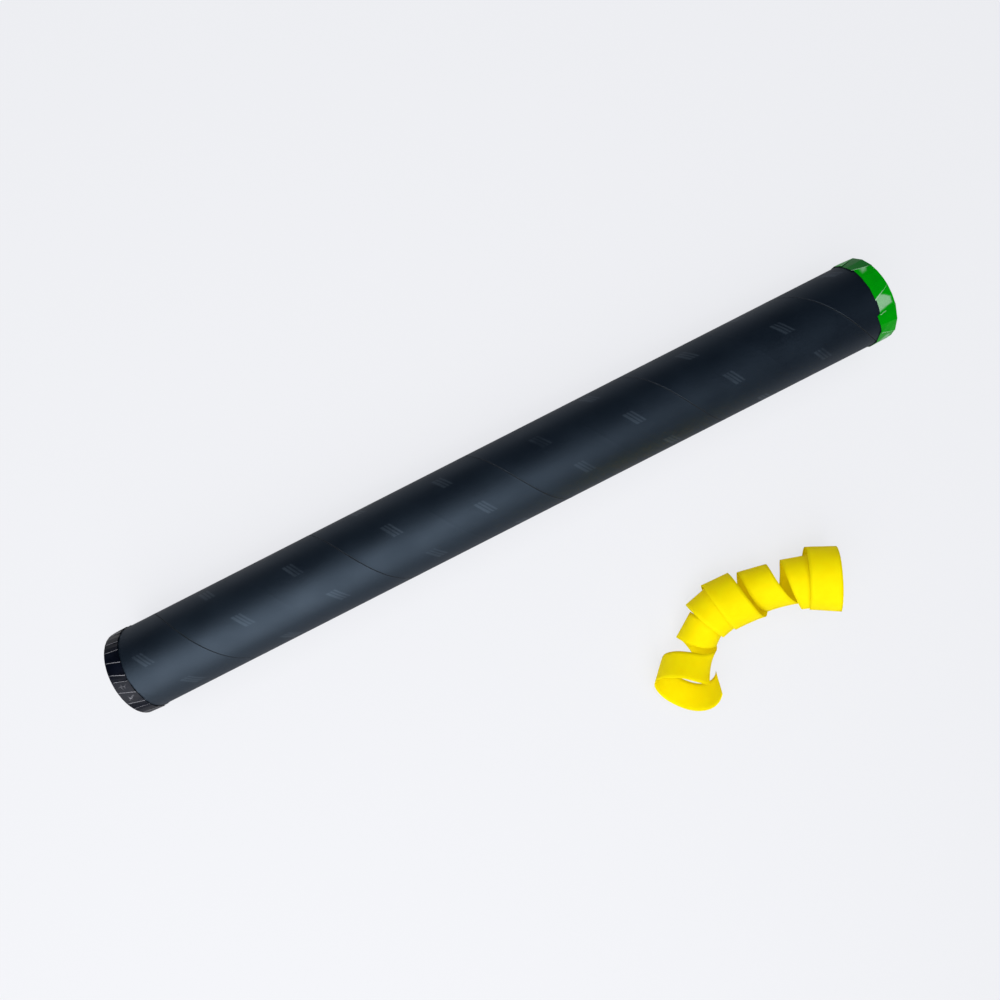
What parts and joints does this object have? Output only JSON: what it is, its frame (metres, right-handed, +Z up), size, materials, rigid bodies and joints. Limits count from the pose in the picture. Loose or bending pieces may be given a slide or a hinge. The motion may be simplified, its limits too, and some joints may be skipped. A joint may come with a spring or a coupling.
{
  "type": "streamer launcher sleeve",
  "caption": "Board tube of rolled paper streamers, sealed with gathered foil at both ends, for a compressed gas launcher, with one spent streamer curl beside it.",
  "frame": {"origin": "centre of the flat foil face at the gas end, on the tube's axis", "axes": "+X along the tube's axis towards the muzzle, +Z up, the loose streamer on the -Y side"},
  "size_m": [0.5003, 0.2071, 0.0533],
  "materials": {
    "wrap_paper": "satin near-black blue coated paper",
    "board": "raw brown wound board",
    "liner_paper": "smooth pale kraft",
    "tape": "thin adhesive transfer tape",
    "black_foil": "glossy black sealing film, gathered",
    "green_foil": "metallised green film, folded",
    "foam": "matte closed-cell foam",
    "greyboard": "plain greyboard",
    "streamer_paper": "bright yellow thin uncoated paper"
  },
  "bodies": {
    "sleeve": {"tube_liner": "liner_paper", "board_ply_inner": "board", "board_ply_outer": "board", "outer_wrap": "wrap_paper", "gas_foil_tape": "tape", "muzzle_foil_tape": "tape", "gas_foil": "black_foil", "muzzle_foil": "green_foil"},
    "payload": {"foam_wad": "foam", "pusher_disc": "greyboard", "streamer_roll_01": "streamer_paper", "streamer_roll_02": "streamer_paper", "streamer_roll_03": "streamer_paper", "streamer_roll_04": "streamer_paper", "streamer_roll_05": "streamer_paper", "streamer_roll_06": "streamer_paper", "streamer_roll_07": "streamer_paper", "streamer_roll_08": "streamer_paper", "streamer_roll_09": "streamer_paper", "streamer_roll_10": "streamer_paper", "streamer_roll_11": "streamer_paper", "streamer_roll_12": "streamer_paper", "streamer_roll_13": "streamer_paper", "streamer_roll_14": "streamer_paper", "streamer_roll_15": "streamer_paper", "streamer_roll_16": "streamer_paper", "streamer_roll_17": "streamer_paper", "streamer_roll_18": "streamer_paper", "streamer_roll_19": "streamer_paper", "streamer_roll_20": "streamer_paper", "cover_disc": "greyboard"},
    "loose_streamer": {"loose_streamer": "streamer_paper"}
  },
  "joints": [
    {"name": "payload_slide", "type": "slide", "parent": "sleeve", "child": "payload", "axis": [1, 0, 0], "range_m": [0, 0.1214]},
    {"name": "streamer_lift", "type": "slide", "parent": "sleeve", "child": "loose_streamer", "axis": [0, 0, 1], "range_m": [0, 0.1]}
  ]
}
